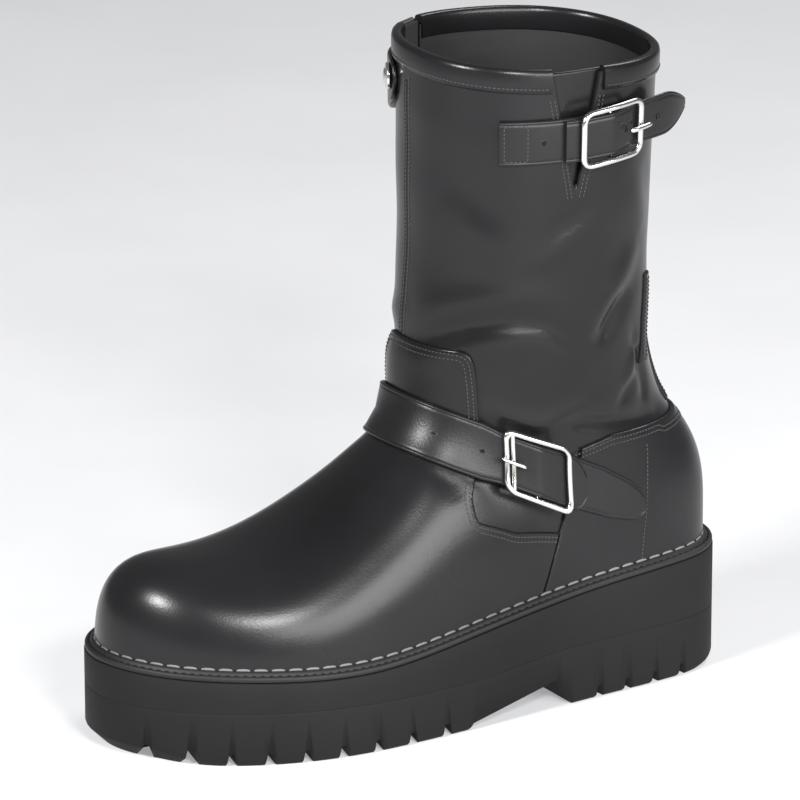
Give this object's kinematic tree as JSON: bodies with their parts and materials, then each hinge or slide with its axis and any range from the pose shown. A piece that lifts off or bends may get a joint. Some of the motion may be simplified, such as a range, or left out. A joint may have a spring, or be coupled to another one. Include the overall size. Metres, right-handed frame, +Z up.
{
  "type": "engineer boot",
  "caption": "Mid-calf engineer boot with a chunky lug platform sole, buckled straps at instep and collar, and a medial zip under a snap tab.",
  "frame": {"origin": "on the floor, under the middle of the sole's own box", "axes": "+Z up, -Y to the toe and +Y to the heel, +X to the lateral (outer) side of this left boot"},
  "size_m": [0.1182, 0.305, 0.3011],
  "materials": {
    "leather": "smooth semi-gloss",
    "strap_leather": "smooth semi-gloss",
    "welt": "satin",
    "outsole_rubber": "matt",
    "midsole_rubber": "matt",
    "lining": "matt",
    "zip_cloth": "matt woven",
    "nickel": "bright polished nickel"
  },
  "bodies": {
    "root": {"back_stay": "leather", "collar_band_back": "leather", "collar_band_front": "leather", "collar_buckle": "nickel", "collar_chape": "strap_leather", "collar_prong": "nickel", "collar_strap": "strap_leather", "counter": "leather", "gusset": "leather", "insole": "lining", "instep_buckle": "nickel", "instep_chape": "strap_leather", "instep_prong": "nickel", "instep_strap": "strap_leather", "midsole": "midsole_rubber", "outsole": "outsole_rubber", "snap": "nickel", "snap_flap": "leather", "upper": "leather", "vamp": "leather", "welt": "welt", "zip_chain": "nickel", "zip_pull": "nickel", "zip_slider": "nickel", "zip_tape": "zip_cloth"}
  },
  "joints": []
}
